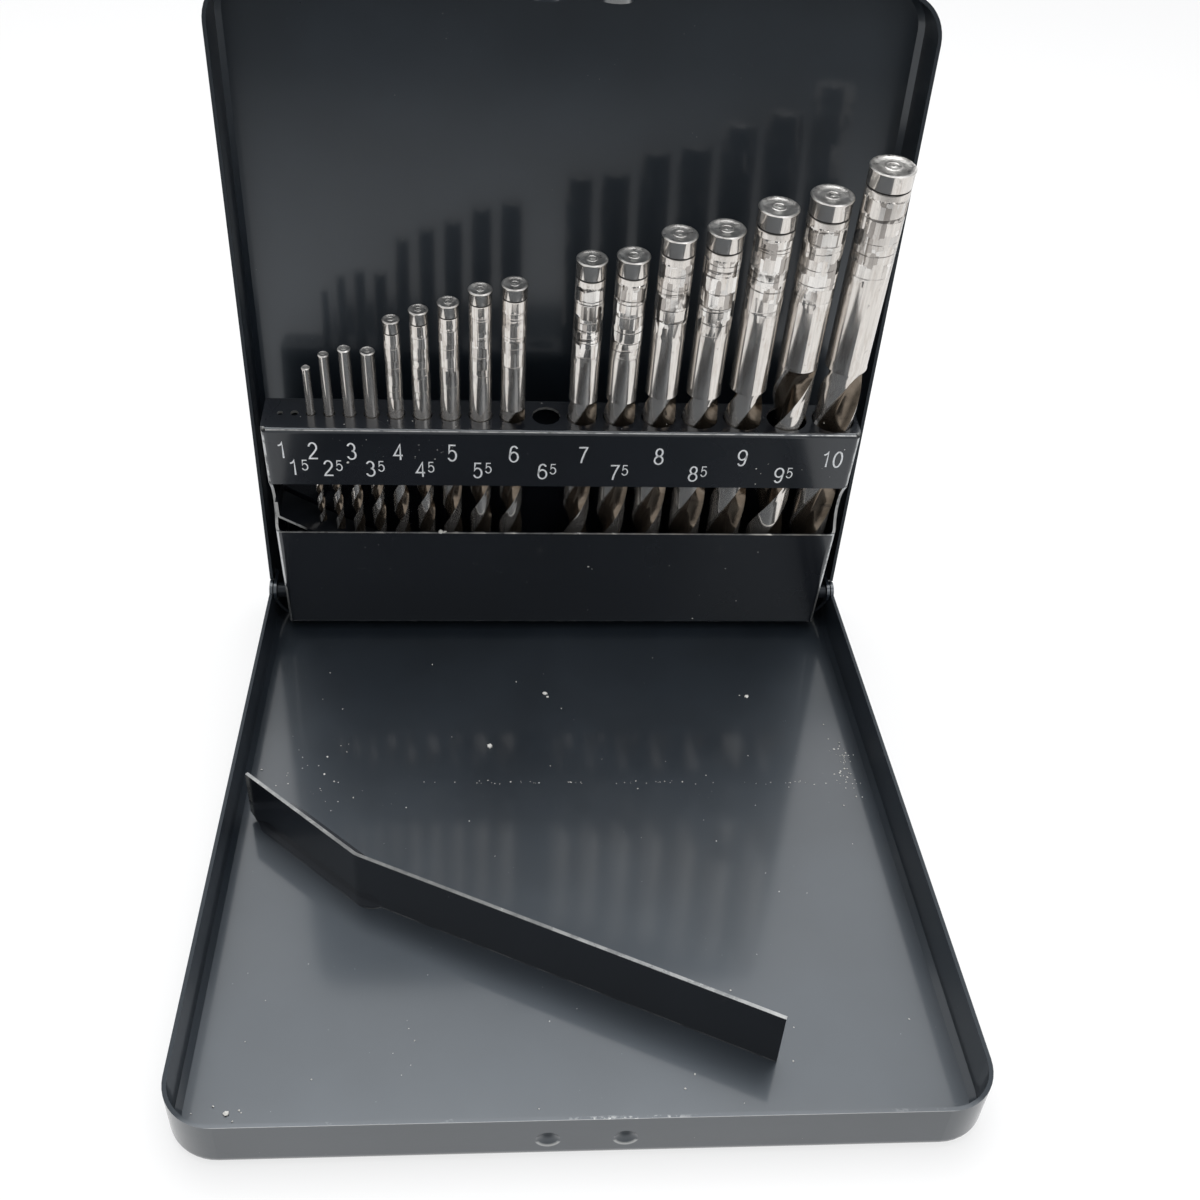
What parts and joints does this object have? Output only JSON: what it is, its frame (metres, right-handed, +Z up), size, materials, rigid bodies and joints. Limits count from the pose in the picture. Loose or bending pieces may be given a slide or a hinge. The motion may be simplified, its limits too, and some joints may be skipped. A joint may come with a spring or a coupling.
{
  "type": "drill bit case",
  "caption": "Hinged sheet-steel case, open, with a folded index rack holding graded twist drills in a row of holes, a sloping tip rest and a bent strip that retains the shanks.",
  "frame": {"origin": "on the table, straight below the rim of the upright lid, at mid width", "axes": "+X to the user's right, +Y away from the user, +Z up; the base lies from the origin towards -Y"},
  "size_m": [0.1542, 0.169, 0.1678],
  "materials": {
    "case_paint": "semi-gloss dark enamel with fine orange peel",
    "rack_paint": "semi-gloss dark enamel, worn bright on the folds",
    "strip_steel": "dark enamel with bare cut edges",
    "rivet_steel": "bright steel",
    "drill_steel": "ground high-speed steel, lightly oiled"
  },
  "bodies": {
    "base": {"base_shell": "case_paint", "hinge_rivet_left": "rivet_steel", "hinge_rivet_right": "rivet_steel", "shank_retainer": "strip_steel"},
    "lid": {"lid_shell": "case_paint"},
    "rack": {"drill_rack": "rack_paint", "tip_rest_strip": "strip_steel"},
    "drill_bit_2_0": {"drill_bit_2_0": "drill_steel"},
    "drill_bit_2_5": {"drill_bit_2_5": "drill_steel"},
    "drill_bit_3_0": {"drill_bit_3_0": "drill_steel"},
    "drill_bit_3_5": {"drill_bit_3_5": "drill_steel"},
    "drill_bit_4_0": {"drill_bit_4_0": "drill_steel"},
    "drill_bit_4_5": {"drill_bit_4_5": "drill_steel"},
    "drill_bit_5_0": {"drill_bit_5_0": "drill_steel"},
    "drill_bit_5_5": {"drill_bit_5_5": "drill_steel"},
    "drill_bit_6_0": {"drill_bit_6_0": "drill_steel"},
    "drill_bit_7_0": {"drill_bit_7_0": "drill_steel"},
    "drill_bit_7_5": {"drill_bit_7_5": "drill_steel"},
    "drill_bit_8_0": {"drill_bit_8_0": "drill_steel"},
    "drill_bit_8_5": {"drill_bit_8_5": "drill_steel"},
    "drill_bit_9_0": {"drill_bit_9_0": "drill_steel"},
    "drill_bit_9_5": {"drill_bit_9_5": "drill_steel"},
    "drill_bit_10_0": {"drill_bit_10_0": "drill_steel"}
  },
  "joints": [
    {"name": "lid_hinge", "type": "hinge", "parent": "base", "child": "lid", "pos_m": [0, -0.0006, 0.0117], "axis": [-1, 0, 0], "range_deg": [-90, 0]},
    {"name": "rack_hinge", "type": "hinge", "parent": "base", "child": "rack", "pos_m": [0, -0.0006, 0.0117], "axis": [-1, 0, 0], "range_deg": [-81.75, 0]},
    {"name": "drill_bit_2_0_slide", "type": "slide", "parent": "rack", "child": "drill_bit_2_0", "axis": [0, -0.1435, 0.9897], "range_m": [0, 0.0364]},
    {"name": "drill_bit_2_5_slide", "type": "slide", "parent": "rack", "child": "drill_bit_2_5", "axis": [0, -0.1435, 0.9897], "range_m": [0, 0.0391]},
    {"name": "drill_bit_3_0_slide", "type": "slide", "parent": "rack", "child": "drill_bit_3_0", "axis": [0, -0.1435, 0.9897], "range_m": [0, 0.0419]},
    {"name": "drill_bit_3_5_slide", "type": "slide", "parent": "rack", "child": "drill_bit_3_5", "axis": [0, -0.1435, 0.9897], "range_m": [0, 0.045]},
    {"name": "drill_bit_4_0_slide", "type": "slide", "parent": "rack", "child": "drill_bit_4_0", "axis": [0, -0.1435, 0.9897], "range_m": [0, 0.0481]},
    {"name": "drill_bit_4_5_slide", "type": "slide", "parent": "rack", "child": "drill_bit_4_5", "axis": [0, -0.1435, 0.9897], "range_m": [0, 0.0514]},
    {"name": "drill_bit_5_0_slide", "type": "slide", "parent": "rack", "child": "drill_bit_5_0", "axis": [0, -0.1435, 0.9897], "range_m": [0, 0.0548]},
    {"name": "drill_bit_5_5_slide", "type": "slide", "parent": "rack", "child": "drill_bit_5_5", "axis": [0, -0.1435, 0.9897], "range_m": [0, 0.0583]},
    {"name": "drill_bit_6_0_slide", "type": "slide", "parent": "rack", "child": "drill_bit_6_0", "axis": [0, -0.1435, 0.9897], "range_m": [0, 0.0617]},
    {"name": "drill_bit_7_0_slide", "type": "slide", "parent": "rack", "child": "drill_bit_7_0", "axis": [0, -0.1435, 0.9897], "range_m": [0, 0.0674]},
    {"name": "drill_bit_7_5_slide", "type": "slide", "parent": "rack", "child": "drill_bit_7_5", "axis": [0, -0.1435, 0.9897], "range_m": [0, 0.0674]},
    {"name": "drill_bit_8_0_slide", "type": "slide", "parent": "rack", "child": "drill_bit_8_0", "axis": [0, -0.1435, 0.9897], "range_m": [0, 0.0674]},
    {"name": "drill_bit_8_5_slide", "type": "slide", "parent": "rack", "child": "drill_bit_8_5", "axis": [0, -0.1435, 0.9897], "range_m": [0, 0.0674]},
    {"name": "drill_bit_9_0_slide", "type": "slide", "parent": "rack", "child": "drill_bit_9_0", "axis": [0, -0.1435, 0.9897], "range_m": [0, 0.0674]},
    {"name": "drill_bit_9_5_slide", "type": "slide", "parent": "rack", "child": "drill_bit_9_5", "axis": [0, -0.1435, 0.9897], "range_m": [0, 0.0674]},
    {"name": "drill_bit_10_0_slide", "type": "slide", "parent": "rack", "child": "drill_bit_10_0", "axis": [0, -0.1435, 0.9897], "range_m": [0, 0.0674]}
  ],
  "couplings": [
    {"joint": "rack_hinge", "follows": "lid_hinge", "ratio": 0.90833}
  ]
}
